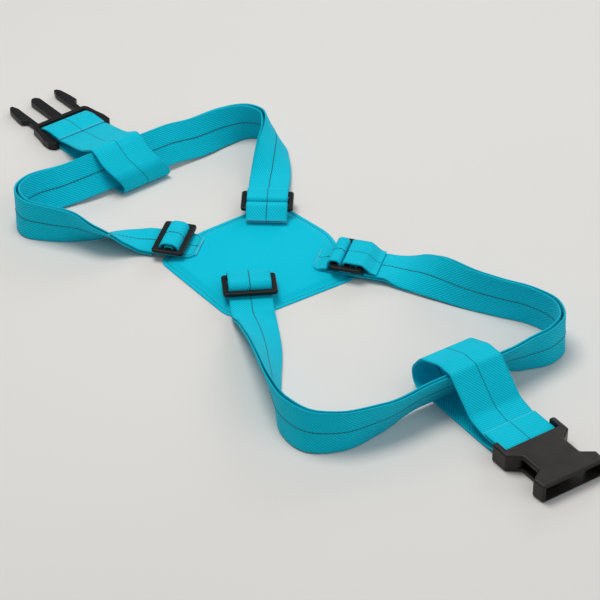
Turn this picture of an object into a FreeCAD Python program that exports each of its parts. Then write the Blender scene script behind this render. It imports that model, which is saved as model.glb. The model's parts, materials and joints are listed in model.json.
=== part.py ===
import FreeCAD, Part
import Sketcher
import math
import os

# A padded harness belt: a back pad, a doubled webbing ring on each side that leaves the pad
# through two slide adjusters, and a wide belt loop on each ring that carries half of a
# side-release buckle.  It lies on a table.  Millimetres; +Z is up, the origin is on the pad's
# underside, at the middle of the pad.

V = FreeCAD.Vector
UP = V(0, 0, 1)
doc = FreeCAD.newDocument("gait_belt")

# Driving sizes ---------------------------------------------------------------------------------
SIZES = [
    ("clearance", 0.3, "gap between pieces that move past each other"),
    ("cover_thickness", 0.8, "each sheet of the pad's cover"),
    ("foam_thickness", 2.4, "foam inside the pad"),
    ("pad_hem", 6.0, "flat sewn border round the foam"),
    ("pad_left", 83.0, "left corner of the pad, from the origin"),
    ("pad_right", 86.0, "right corner of the pad, from the origin"),
    ("pad_back", 96.0, "back corner of the pad, before rounding"),
    ("pad_front", 86.0, "front corner of the pad, before rounding"),
    ("strap_width", 36.0, "webbing of the rings"),
    ("strap_thickness", 1.8, "webbing of the rings"),
    ("belt_width", 50.0, "webbing of the belt loops"),
    ("belt_thickness", 2.0, "webbing of the belt loops"),
    ("ply_gap", 0.5, "air between the two plies of a ring"),
    ("slide_length", 28.0, "slide adjuster, along the strap"),
    ("slide_bar", 4.4, "outer bars and ends of a slide"),
    ("slide_middle_bar", 4.0, "bar that a strap end is sewn round"),
    ("slide_thickness", 3.4, "slide adjuster"),
    ("slot_play", 0.8, "slot length beyond the strap's width"),
    ("slide_corner", 3.0, "corner radius of a slide"),
    ("plug_front", 10.5, "web bar to the front edge of the plug's frame"),
    ("plug_rear", 28.0, "web bar to the rear ends of the plug's rails"),
    ("plug_thickness", 7.6, "plug's frame"),
    ("plug_web_bar", 3.0, "diameter of the plug's web bar"),
    ("prong_length", 42.0, "guide tongue and sprung arms, past the frame"),
    ("prong_thickness", 5.0, "guide tongue and sprung arms"),
    ("tongue_width", 10.0, "guide tongue"),
    ("rail", 4.6, "side rails beside a web bar"),
    ("socket_front", 56.0, "web bar to the mouth of the socket"),
    ("socket_rear", 6.5, "web bar to the rear ends of the socket's rails"),
    ("socket_thickness", 16.0, "socket"),
    ("socket_wall", 2.2, "walls of the socket"),
    ("socket_web_bar", 5.0, "diameter of the socket's web bar"),
    ("left_reach", 107.0, "strap to web bar, along the left belt loop"),
    ("right_reach", 79.0, "strap to web bar, along the right belt loop"),
]
sheet = doc.addObject("Spreadsheet::Sheet", "Sizes")
for row, (alias, number, meaning) in enumerate(SIZES, start=1):
    sheet.set("A%d" % row, alias)
    sheet.set("B%d" % row, str(number))
    sheet.set("C%d" % row, meaning)
    sheet.setAlias("B%d" % row, alias)
doc.recompute()


def size(alias):
    return float(sheet.get(alias))


CLEAR = size("clearance")
STRAP = size("strap_width")
PLY = size("strap_thickness")
GAP = size("ply_gap")
BELT = size("belt_width")
WEB = size("belt_thickness")
FLOOR = 0.1                      # soft parts lie this far above the table
PAD_TOP = 2 * size("cover_thickness") + size("foam_thickness")
parts = []


def keep(item, name):
    """Labels a finished sub-part with the name of its node and file."""
    item.Label = name
    parts.append(item)
    return item


# Flat outlines and ribbons -----------------------------------------------------------------------
def rounded_edges(points, radii):
    """Straight runs from point to point, with an arc of the given radius at each inner point."""
    edges = []
    start = points[0]
    for before, corner, after, radius in zip(points, points[1:], points[2:], radii):
        back = (before - corner).normalize()
        ahead = (after - corner).normalize()
        turn = math.pi - back.getAngle(ahead)
        if turn < 0.02 or radius < 0.02:
            edges.append(Part.LineSegment(start, corner).toShape())
            start = corner
            continue
        setback = radius * math.tan(turn / 2)
        middle = corner + (back + ahead).normalize() * (radius / math.cos(turn / 2) - radius)
        first, last = corner + back * setback, corner + ahead * setback
        if start.distanceToPoint(first) > 1e-6:
            edges.append(Part.LineSegment(start, first).toShape())
        edges.append(Part.Arc(first, middle, last).toShape())
        start = last
    edges.append(Part.LineSegment(start, points[-1]).toShape())
    return edges


def side_of(points, radii, normal, offset):
    """The points and radii of a line that runs beside a path, offset to its left."""
    runs = [(b - a).normalize() for a, b in zip(points, points[1:])]
    lefts = [normal.cross(run) for run in runs]
    moved = [points[0] + lefts[0] * offset]
    bends = []
    for i, radius in enumerate(radii):
        miter = (lefts[i] + lefts[i + 1]) / (1 + lefts[i].dot(lefts[i + 1]))
        moved.append(points[i + 1] + miter * offset)
        turns_left = runs[i].cross(runs[i + 1]).dot(normal) > 0
        bends.append(radius - offset if turns_left else radius + offset)
    moved.append(points[-1] + lefts[-1] * offset)
    return moved, bends


def ribbon(path, radii, thickness, width):
    """Webbing of even thickness that follows a bent path of (x, z) points, extruded along Y."""
    points = [V(x, -width / 2, z) for x, z in path]
    normal = V(0, -1, 0)
    near, near_radii = side_of(points, radii, normal, thickness / 2)
    far, far_radii = side_of(points, radii, normal, -thickness / 2)
    edges = rounded_edges(near, near_radii)
    edges.append(Part.LineSegment(near[-1], far[-1]).toShape())
    edges += reversed(rounded_edges(far, far_radii))
    edges.append(Part.LineSegment(far[0], near[0]).toShape())
    face = Part.Face(Part.Wire(Part.__sortEdges__(edges)))
    return face.extrude(V(0, width, 0))


def feature(name, shape, placement=None):
    """A sub-part whose shape is worked out here and not by a workbench feature."""
    item = doc.addObject("Part::Feature", name)
    item.Shape = shape
    if placement:
        item.Placement = placement
    return keep(item, name)


# Sizes as sketch terms ---------------------------------------------------------------------------
def term(alias, factor=1.0, plus=0.0):
    """A length made from one named size: its value now, and the formula that keeps it so."""
    return size(alias) * factor + plus, "%r * Sizes.%s + %r" % (factor, alias, plus)


def both(number):
    return number if isinstance(number, tuple) else (number, repr(float(number)))


def polygon(sketch, corners):
    """A closed polygon with both coordinates of every corner driven by a term."""
    spots = [V(both(x)[0], both(y)[0], 0) for x, y in corners]
    count = len(spots)
    first = sketch.GeometryCount
    for i in range(count):
        sketch.addGeometry(Part.LineSegment(spots[i], spots[(i + 1) % count]), False)
    for i in range(count):
        ends = (first + i, 2, first + (i + 1) % count, 1)
        sketch.addConstraint(Sketcher.Constraint("Coincident", *ends))
    for i, corner in enumerate(corners):
        for kind, value in zip(("DistanceX", "DistanceY"), corner):
            number, formula = both(value)
            rule = Sketcher.Constraint(kind, -1, 1, first + i, 1, number)
            sketch.setExpression("Constraints[%d]" % sketch.addConstraint(rule), formula)


def sketch_in(body, name, plane, corners=None, circle=None):
    sketch = body.newObject("Sketcher::SketchObject", name)
    role = {"XY": "XY_Plane", "XZ": "XZ_Plane", "YZ": "YZ_Plane"}[plane]
    origin = [item for item in body.Origin.OriginFeatures if item.Role == role][0]
    sketch.AttachmentSupport = [(origin, "")]
    sketch.MapMode = "FlatFace"
    if corners:
        polygon(sketch, corners)
    if circle:
        radius, formula = both(circle)
        sketch.addGeometry(Part.Circle(V(0, 0, 0), UP, radius), False)
        sketch.addConstraint(Sketcher.Constraint("Coincident", 0, 3, -1, 1))
        number = sketch.addConstraint(Sketcher.Constraint("Radius", 0, radius))
        sketch.setExpression("Constraints[%d]" % number, formula)
    return sketch


def pad_or_pocket(body, kind, name, profile, length):
    """Adds or removes the profile's area, evenly on both sides of its plane."""
    step = body.newObject("PartDesign::" + kind, name)
    step.Profile = profile
    step.SideType = "Symmetric"
    step.setExpression("Length", both(length)[1])
    doc.recompute()
    return step


def round_upright(body, name, radius, chosen):
    """Rounds the edges of the body's last step that the test picks out."""
    last = body.Tip
    names = ["Edge%d" % n for n, edge in enumerate(last.Shape.Edges, start=1) if chosen(edge)]
    step = body.newObject("PartDesign::Fillet", name)
    step.Base = (last, names)
    step.Radius = radius
    doc.recompute()
    return step


def is_upright(edge):
    return len(edge.Vertexes) == 2 and abs(edge.tangentAt(edge.FirstParameter).z) > 0.99


# Back pad ----------------------------------------------------------------------------------------
# Six corners, counter-clockwise from the left: where each lies before rounding, and its radius.
PAD_CORNERS = [
    (term("pad_left", -1.0), 4.0, 11.0),
    (-15.0, term("pad_front", -1.0), 26.0),
    (term("pad_right"), -19.0, 13.0),
    (62.0, 46.0, 50.0),
    (15.0, term("pad_back"), 30.0),
    (-52.0, 46.0, 60.0),
]


def inset(sketch, name, amount):
    """The pad's outline again, a given way further in."""
    item = doc.addObject("Part::Offset2D", name)
    item.Source = sketch
    item.Join = 2
    item.setExpression("Value", "-(%s)" % amount)
    doc.recompute()
    return item


def slab(base, name, thickness, bottom, shrink, bevel=0):
    """A sheet with the outline of the base, rounded corners and, if wanted, a bevelled top rim."""
    block = doc.addObject("Part::Extrusion", name)
    block.Base = base
    block.DirMode = "Custom"
    block.Dir = UP
    block.Solid = True
    block.setExpression("LengthFwd", thickness)
    block.setExpression("Placement.Base.z", bottom)
    doc.recompute()
    rounded = doc.addObject("Part::Fillet", name + "_rounded")
    rounded.Base = block
    edges = []
    for number, edge in enumerate(block.Shape.Edges, start=1):
        if not is_upright(edge):
            continue
        spot = edge.CenterOfMass
        reach = [(math.hypot(both(x)[0] - spot.x, both(y)[0] - spot.y), radius)
                 for x, y, radius in PAD_CORNERS]
        radius = min(reach)[1] - shrink
        edges.append((number, radius, radius))
    rounded.Edges = edges
    doc.recompute()
    if not bevel:
        return rounded
    bevelled = doc.addObject("Part::Chamfer", name + "_bevelled")
    bevelled.Base = rounded
    top = rounded.Shape.BoundBox.ZMax
    bevelled.Edges = [(number, bevel, bevel)
                      for number, edge in enumerate(rounded.Shape.Edges, start=1)
                      if edge.BoundBox.ZMin > top - 0.01]
    doc.recompute()
    return bevelled


def make_pad():
    outline = doc.addObject("Sketcher::SketchObject", "pad_outline")
    polygon(outline, [(x, y) for x, y, radius in PAD_CORNERS])
    doc.recompute()
    hem = size("pad_hem")
    cover = size("cover_thickness")
    bevel = size("foam_thickness") * 0.6
    under = slab(outline, "under_sheet", "Sizes.cover_thickness", "0", 0)
    keep(under, "back_pad_underside_cover")
    foam_outline = inset(outline, "foam_outline", "Sizes.pad_hem")
    foam = slab(foam_outline, "foam_block", "Sizes.foam_thickness", "Sizes.cover_thickness",
                hem, bevel)
    keep(foam, "back_pad_foam")
    border = slab(outline, "border_sheet", "Sizes.cover_thickness", "Sizes.cover_thickness", 0)
    shell_outline = inset(outline, "shell_outline", "Sizes.pad_hem - Sizes.cover_thickness")
    shell = slab(shell_outline, "shell_block", "Sizes.foam_thickness + Sizes.cover_thickness",
                 "Sizes.cover_thickness", hem - cover, bevel)
    whole = doc.addObject("Part::Fuse", "top_cover_whole")
    whole.Base = border
    whole.Tool = shell
    top = doc.addObject("Part::Cut", "top_cover_hollow")
    top.Base = whole
    top.Tool = foam
    keep(top, "back_pad_top_cover")


# Rings -------------------------------------------------------------------------------------------
# Each ring is two plies of webbing side by side.  A station is (x, y, lean) on the line midway
# between the plies.  Lean turns the webbing about its own line: 0 lies flat with its inner face
# up, 90 stands on edge, 180 lies flat with its outer face up.  Its height follows from the lean,
# because the lower edge rests on the table.  The webbing runs straight where a slide adjuster or
# a belt loop travels along it.
STACK = 2 * PLY + GAP
SLIDES = {
    "left": dict(x=-71.0, y=25.0, heading=166.0, flat=20.0, corner="pad_left", drawn=83.0,
                 out=V(-1, 0, 0), under=PLY),
    "back": dict(x=8.0, y=79.0, heading=88.0, flat=32.0, corner="pad_back", drawn=96.0,
                 out=V(0, 1, 0), under=STACK),
    "front": dict(x=-5.5, y=-46.0, heading=276.0, flat=30.0, corner="pad_front", drawn=86.0,
                  out=V(0, -1, 0), under=STACK),
    "right": dict(x=80.0, y=-4.0, heading=344.0, flat=32.0, corner="pad_right", drawn=86.0,
                  out=V(1, 0, 0), under=STACK),
}
LOOP_RUN = BELT / 2 + 13.0        # half of the straight run that a belt loop slides on
LOOP_LIFT = WEB + 0.8             # the ring rides on the belt loop's lower ply
LOOP_PLAY = 1.4                   # room between a ring and the belt loop round it
RINGS = {
    "left": dict(
        first="left", last="back", side=1, middle=V(-112.5, 137.5, 0), heading=37.0,
        lean=54.0, skew=2.0, lean_last=180.0,
        starts={"inner": (-23.0, -22.0), "outer": (15.0, 15.0)},
        before=[(-103, 30.5, 6), (-117, 29, 19), (-135, 27, 46), (-154, 31, 74), (-180, 37, 92),
                (-200, 46, 96), (-206, 62, 90), (-196, 80, 72), (-174, 95, 58)],
        after=[(-55, 178, 60), (-32, 193, 76), (-10, 201, 92), (6, 194, 106), (12, 178, 120),
               (12, 158, 138), (11, 136, 160)]),
    "right": dict(
        first="front", last="right", side=-1, middle=V(166, -180.5, 0), heading=34.0,
        lean=64.0, skew=0.0, lean_last=0.0,
        starts={"inner": (-7.5, 15.0), "outer": (-7.5, -30.0)},
        before=[(1, -92, 16), (7, -126, 36), (11, -162, 57), (16, -197, 76), (25, -226, 93),
                (43, -244, 100), (68, -245, 90), (100, -229, 74)],
        after=[(216, -148, 78), (235, -137, 88), (246, -120, 91), (243, -101, 90),
               (226, -84, 88), (198, -71, 83), (174, -59, 77), (152, -43, 60), (132, -26, 30)]),
}


def heading_vector(degrees):
    return V(math.cos(math.radians(degrees)), math.sin(math.radians(degrees)), 0)


def slide_shift(name):
    """How far a slide has moved with its corner of the pad."""
    slide = SLIDES[name]
    return slide["out"] * (size(slide["corner"]) - slide["drawn"])


def slide_centre(name):
    return V(SLIDES[name]["x"], SLIDES[name]["y"], 0) + slide_shift(name)


def ring_middle(name):
    """Where the belt loop of a ring sits on the ring's own line."""
    ring = RINGS[name]
    return ring["middle"] + (slide_shift(ring["first"]) + slide_shift(ring["last"])) * 0.5


def resting_height(lean):
    """Height of the ring's own line when its lower edge rests on the table."""
    angle = math.radians(lean)
    return FLOOR + STRAP / 2 * abs(math.sin(angle)) + STACK / 2 * abs(math.cos(angle))


def hermite(a, b, slope_a, slope_b, span, t):
    """A cubic from a to b with the given slopes at its ends."""
    return ((2 * t**3 - 3 * t**2 + 1) * a + (t**3 - 2 * t**2 + t) * span * slope_a
            + (3 * t**2 - 2 * t**3) * b + (t**3 - t**2) * span * slope_b)


def smooth_run(start, stops, end):
    """Samples along a smooth curve through the stations; each is (x, y, heading, lean, lift)."""
    knots = [start[:2] + start[3:]] + [stop + (0.0,) for stop in stops] + [end[:2] + end[3:]]
    spans = [math.hypot(q[0] - p[0], q[1] - p[1]) for p, q in zip(knots, knots[1:])]
    slopes = [heading_of(start[2]) + (0.0, 0.0)]
    for i in range(1, len(knots) - 1):
        slopes.append(tuple(
            ((knots[i][k] - knots[i - 1][k]) / spans[i - 1] * spans[i]
             + (knots[i + 1][k] - knots[i][k]) / spans[i] * spans[i - 1])
            / (spans[i - 1] + spans[i]) if k < 3 else 0.0 for k in range(4)))
    slopes.append(heading_of(end[2]) + (0.0, 0.0))
    samples = []
    for i, span in enumerate(spans):
        steps = max(3, round(span / 5.0))
        for step in range(steps + (i == len(spans) - 1)):
            t = step / steps
            x, y, lean, lift = (hermite(knots[i][k], knots[i + 1][k], slopes[i][k],
                                        slopes[i + 1][k], span, t) for k in range(4))
            d = 1e-3
            ahead = [hermite(knots[i][k], knots[i + 1][k], slopes[i][k], slopes[i + 1][k],
                             span, t + d) for k in range(2)]
            heading = math.degrees(math.atan2(ahead[1] - y, ahead[0] - x))
            samples.append((x, y, heading, lean, lift))
    samples[0] = start
    samples[-1] = end
    return samples


def heading_of(degrees):
    return math.cos(math.radians(degrees)), math.sin(math.radians(degrees))


def straight_station(point, heading, along, lean, height):
    spot = point + heading_vector(heading) * along
    return spot.x, spot.y, heading, lean, height - resting_height(lean)


def ring_samples(name, ply):
    """The whole line of one ply, from its end on the first slide to its end on the last."""
    ring = RINGS[name]
    first, last = SLIDES[ring["first"]], SLIDES[ring["last"]]
    begin, finish = ring["starts"][ply]
    height_first = PAD_TOP + first["under"] - STACK / 2
    height_last = PAD_TOP + last["under"] - STACK / 2
    a, b, m = slide_centre(ring["first"]), slide_centre(ring["last"]), ring_middle(name)
    loop_height = resting_height(ring["lean"]) + LOOP_LIFT
    one = straight_station(a, first["heading"], begin, 0.0, height_first)
    two = straight_station(a, first["heading"], first["flat"], 0.0, height_first)
    three = straight_station(m, ring["heading"], -LOOP_RUN, ring["lean"], loop_height)
    four = straight_station(m, ring["heading"], LOOP_RUN, ring["lean"], loop_height)
    home = last["heading"] - 180.0
    five = straight_station(b, home, -last["flat"], ring["lean_last"], height_last)
    six = straight_station(b, home, -finish, ring["lean_last"], height_last)
    da, db = slide_shift(ring["first"]), slide_shift(ring["last"])
    dm = (da + db) * 0.5

    def moved(stations, low, high):
        count = len(stations) + 1
        out = []
        for i, (x, y, lean) in enumerate(stations, start=1):
            shift = low + (high - low) * (i / count)
            out.append((x + shift.x, y + shift.y, float(lean)))
        return out

    return ([one] + smooth_run(two, moved(ring["before"], da, dm), three)
            + smooth_run(four, moved(ring["after"], dm, db), five) + [six])


def make_ply(ring_name, ply):
    """One ply as a solid ruled between rectangles set across the ring's line."""
    side = RINGS[ring_name]["side"]
    near, far = (GAP / 2, GAP / 2 + PLY) if ply == "inner" else (-GAP / 2 - PLY, -GAP / 2)
    wires = []
    for x, y, heading, lean, lift in ring_samples(ring_name, ply):
        outward = heading_vector(heading + 90 * side)
        across = outward * math.cos(math.radians(lean)) + UP * math.sin(math.radians(lean))
        inward = UP * math.cos(math.radians(lean)) - outward * math.sin(math.radians(lean))
        centre = V(x, y, resting_height(lean) + lift)
        half = across * (STRAP / 2)
        corners = [centre - half + inward * near, centre + half + inward * near,
                   centre + half + inward * far, centre - half + inward * far]
        wires.append(Part.makePolygon(corners + corners[:1]))
    feature("%s_ring_%s_strap" % (ring_name, ply), Part.makeLoft(wires, True, True))


# Slide adjusters ---------------------------------------------------------------------------------
# Built with +X from the pad along the strap and the frame's mid-plane at z = 0.
HALF = size("slide_thickness") / 2
LIE = HALF + CLEAR + PLY / 2      # middle of a ply that passes close over or under a bar
OVER = 2 * CLEAR + PLY + HALF     # frame's mid-plane above the ply that it slides over


def slide_height(name):
    return PAD_TOP + SLIDES[name]["under"] + OVER


def slide_place(name):
    spot = slide_centre(name) + UP * slide_height(name)
    return FreeCAD.Placement(spot, FreeCAD.Rotation(UP, SLIDES[name]["heading"]))


def make_frame(name):
    body = doc.addObject("PartDesign::Body", name + "_slide")
    long = term("slide_length", 0.5)
    long_back = term("slide_length", -0.5)
    wide = (STRAP / 2 + 0.4 + size("slide_bar"),
            "(Sizes.strap_width + Sizes.slot_play) / 2 + Sizes.slide_bar")
    wide_back = (-wide[0], "-(%s)" % wide[1])
    outline = sketch_in(body, name + "_outline", "XY", [
        (long_back, wide_back), (long, wide_back), (long, wide), (long_back, wide)])
    pad_or_pocket(body, "Pad", name + "_plate", outline, term("slide_thickness"))
    round_upright(body, name + "_corners", size("slide_corner"), is_upright)
    slot = (STRAP / 2 + 0.4, "(Sizes.strap_width + Sizes.slot_play) / 2")
    slot_back = (-slot[0], "-(%s)" % slot[1])
    inner = term("slide_middle_bar", 0.5)
    inner_back = term("slide_middle_bar", -0.5)
    outer = (size("slide_length") / 2 - size("slide_bar"),
             "Sizes.slide_length / 2 - Sizes.slide_bar")
    outer_back = (-outer[0], "-(%s)" % outer[1])
    slots = sketch_in(body, name + "_slots", "XY", [
        (inner, slot_back), (outer, slot_back), (outer, slot), (inner, slot)])
    polygon(slots, [(outer_back, slot_back), (inner_back, slot_back), (inner_back, slot),
                    (outer_back, slot)])
    pad_or_pocket(body, "Pocket", name + "_slot_cut", slots, term("slide_thickness", 2.0))
    edge = size("slide_length") / 2
    round_upright(body, name + "_rim", 1.0, lambda e: abs(abs(e.CenterOfMass.z) - HALF) < 0.01
                  and (abs(e.CenterOfMass.x) > edge - 1.5 or abs(e.CenterOfMass.y) > wide[0] - 1.5))
    body.Placement = slide_place(name)
    keep(body, name + "_slide")


def make_webbing_on(name, hump, hump_radii, end, end_radii):
    """The webbing threaded through a slide: the strap that passes, and the sewn end's fold."""
    feature(name + "_slide_hump", ribbon(hump, hump_radii, PLY, STRAP), slide_place(name))
    feature(name + "_slide_end_loop", ribbon(end, end_radii, PLY, STRAP), slide_place(name))


def make_slides():
    for name in SLIDES:
        make_frame(name)
    bar = size("slide_middle_bar") / 2 + CLEAR + PLY / 2
    ring = [(0.2, -LIE), (-bar, -LIE), (-bar, LIE), (bar, LIE), (bar, -LIE), (0.8, -LIE)]
    ring_radii = [1.3, 1.3, 1.3, 1.3]
    crest = LIE + PLY + CLEAR + 0.8
    reach = size("slide_length") / 2
    leg = reach - size("slide_bar") - CLEAR - PLY / 2 - 0.2
    arch = [(-reach + 1, -LIE), (-leg, -LIE), (-leg + 0.3, crest), (leg - 0.3, crest),
            (leg, -LIE), (reach - 1, -LIE)]
    make_webbing_on("left", arch, [1.2, 5.8, 5.8, 1.2], ring, ring_radii)

    pad_level = PAD_TOP + CLEAR + PLY / 2 - slide_height("front")
    drape = [(-reach - 5.5, pad_level), (-reach - 2.6, pad_level), (-reach - 1.7, LIE + 0.3),
             (-leg, crest), (leg - 0.3, crest), (leg, -LIE), (reach - 1, -LIE)]
    make_webbing_on("front", drape, [1.2, 2.5, 9.0, 5.8, 1.2], ring, ring_radii)

    lower = PAD_TOP + PLY + CLEAR + PLY / 2 - slide_height("right")
    first_leg = -bar - 3.2
    tab = [(-reach - 10.5, lower + 1.1), (-reach + 0.6, LIE + 0.8), (first_leg, LIE + 0.8),
           (first_leg, lower), (3.0, lower)]
    hump = [(-reach - 10, lower), (-reach - 3.2, lower), (-reach - 1.4, LIE + 1.7),
            (first_leg + 0.4, LIE + 1.7), (first_leg, lower), (3.0, lower)]
    hook = [(reach + 8, -LIE), (reach + 7, -LIE), (reach - 0.6, LIE + 1.4),
            (-bar, LIE + 1.4), (-bar, -LIE), (7.0, -LIE)]
    hook_radii = [2.0, 6.0, 2.4, 1.4]
    make_webbing_on("back", tab, [5.0, 2.6, 1.2], hook, hook_radii)
    make_webbing_on("right", hump, [1.5, 4.0, 3.6, 1.2], hook, hook_radii)


# Belt loops --------------------------------------------------------------------------------------
# Built with +X from the ring's line out along the belt, across the ring.
def loop_place(name):
    ring = RINGS[name]
    heading = ring["heading"] + 90 * ring["side"] + ring["skew"]
    return FreeCAD.Placement(ring_middle(name), FreeCAD.Rotation(UP, heading))


def make_belt_loops():
    web = WEB / 2
    floor = FLOOR + web
    lean = math.radians(RINGS["left"]["lean"])
    top = resting_height(RINGS["left"]["lean"]) + LOOP_LIFT
    away = STACK / 2 + LOOP_PLAY + web
    tip = STRAP / 2 + LOOP_PLAY + web
    across = (math.cos(lean), math.sin(lean))
    inward = (-math.sin(lean), math.cos(lean))

    def beside(along, off):
        return (across[0] * along + inward[0] * off, top + across[1] * along + inward[1] * off)

    bar = size("left_reach")
    wrap = size("plug_web_bar") / 2 + CLEAR + web
    mid = FLOOR + size("plug_thickness") / 2
    path = [(bar - 29, mid + wrap + 4.6), (bar - 11, mid + wrap + 3.4),
            (bar + wrap, mid + wrap - 0.1), (bar + wrap, mid - wrap),
            (-17.5, floor), (-22.5, 6.5), (-18.5, 19.0), beside(tip - 5.0, away + 1.1),
            beside(tip + 0.2, away - 1.7), beside(tip + 0.6, -away + 0.6), (44, 20.5), (80, 7.7),
            (bar - wrap - 0.6, mid + wrap - WEB - CLEAR)]
    radii = [14, wrap * 0.98, wrap * 0.98, 3.6, 5, 12, 5, 2.4, 4.0, 30, 30]
    feature("left_belt_loop", ribbon(path, radii, WEB, BELT), loop_place("left"))

    crest = resting_height(RINGS["right"]["lean"]) * 2 + LOOP_LIFT + 0.8 + web + 0.6
    bar = size("right_reach")
    wrap = size("socket_web_bar") / 2 + CLEAR + web
    mid = FLOOR + size("socket_thickness") / 2
    path = [(bar - 23, mid + wrap), (bar + wrap, mid + wrap), (bar + wrap, mid - wrap),
            (bar - 7, mid - wrap), (bar - 24, floor), (-34, floor), (-38, 16), (-27, 31),
            (-4, crest), (11, crest), (38, 14), (56, mid + wrap - WEB - CLEAR),
            (bar - wrap - 0.8, mid + wrap - WEB - CLEAR)]
    radii = [wrap * 0.98, wrap * 0.98, 8, 8, 9, 12, 14, 12, 6, 14, 14]
    feature("right_belt_loop", ribbon(path, radii, WEB, BELT), loop_place("right"))


# Buckle ------------------------------------------------------------------------------------------
# Each half is built with its web bar along Y through the origin and its open end towards +X.
def mirrored(points):
    """Adds the same corners on the other side of the centre line, in reverse order."""
    other = []
    for x, y in reversed(points):
        value, formula = both(y)
        other.append((x, (-value, "-(%s)" % formula)))
    return points + other


def buckle_place(name, reach, thickness):
    place = loop_place(name)
    local = V(size(reach), 0, FLOOR + size(thickness) / 2)
    return FreeCAD.Placement(place.multVec(local), place.Rotation)


HINGE_Y = 23.5                    # spring arms' roots, from the centre line
HINGE_R = 3.0


def make_plug():
    body = doc.addObject("PartDesign::Body", "plug")
    side = term("belt_width", 0.5, 0.8 + size("rail"))
    bulge = term("belt_width", 0.5, 0.8 + size("rail") + 3.6)
    front = term("plug_front")
    rear = term("plug_rear", -1.0)
    outline = sketch_in(body, "plug_outline", "XY", mirrored([
        (front, (-side[0] + 2.5, "-(%s) + 2.5" % side[1])),
        (term("plug_front", 1.0, -4.0), (-side[0], "-(%s)" % side[1])),
        (-4.0, (-side[0] - 1.5, "-(%s) - 1.5" % side[1])),
        (-14.0, (-bulge[0], "-(%s)" % bulge[1])),
        (term("plug_rear", -1.0, 5.0), (-bulge[0], "-(%s)" % bulge[1])),
        (rear, (-side[0], "-(%s)" % side[1])),
    ]))
    pad_or_pocket(body, "Pad", "plug_plate", outline, term("plug_thickness"))
    round_upright(body, "plug_corners", 3.0, is_upright)
    opening = sketch_in(body, "plug_opening", "XY", mirrored([
        (term("plug_front", 1.0, -5.0), term("belt_width", -0.5, -0.8)),
        (term("plug_rear", -1.0, -1.0), term("belt_width", -0.5, -0.8)),
    ]))
    pad_or_pocket(body, "Pocket", "plug_opening_cut", opening, term("plug_thickness", 2.0))
    tongue = sketch_in(body, "tongue_outline", "XY", mirrored([
        (term("plug_front", 1.0, -1.0), term("tongue_width", -0.5)),
        (term("prong_length", 1.0, size("plug_front") - 4.0), term("tongue_width", -0.5)),
        (term("prong_length", 1.0, size("plug_front")), term("tongue_width", -0.5, 3.0)),
    ]))
    pad_or_pocket(body, "Pad", "tongue_blade", tongue, term("prong_thickness"))
    bar = sketch_in(body, "plug_bar_outline", "XZ", circle=term("plug_web_bar", 0.5))
    pad_or_pocket(body, "Pad", "plug_bar", bar, term("belt_width", 1.0, 3.0))
    body.Placement = buckle_place("left", "left_reach", "plug_thickness")
    keep(body, "buckle_plug")


def make_arm(name, side):
    """A sprung arm: a narrow root, a barb that catches in the socket, and a rounded tip."""
    body = doc.addObject("PartDesign::Body", name)
    root = size("plug_front") + CLEAR
    tip = size("plug_front") + size("prong_length")
    y = HINGE_Y * side
    corners = [(root, y - 2.4 * side), (root, y + 2.4 * side), (root + 12, y + 2.8 * side),
               (root + 15, y + 7.5 * side), (root + 24, y + 7.0 * side),
               (term("prong_length", 1.0, size("plug_front") - 4.0), y + 5.0 * side),
               (term("prong_length", 1.0, size("plug_front")), y + 2.5 * side),
               (term("prong_length", 1.0, size("plug_front")), y - 0.5 * side),
               (tip - 7, y - 2.6 * side), (root + 22, y - 2.6 * side), (root + 10, y - 2.4 * side)]
    if side < 0:
        corners.reverse()
    outline = sketch_in(body, name + "_outline", "XY", corners)
    pad_or_pocket(body, "Pad", name + "_blade", outline, term("prong_thickness"))
    round_upright(body, name + "_root", 2.3, lambda e: is_upright(e)
                  and e.CenterOfMass.x < root + 1)
    round_upright(body, name + "_corners", 1.2, lambda e: is_upright(e)
                  and e.CenterOfMass.x > root + 13 and len(e.Vertexes) == 2)
    body.Placement = buckle_place("left", "left_reach", "plug_thickness")
    keep(body, name)


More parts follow.
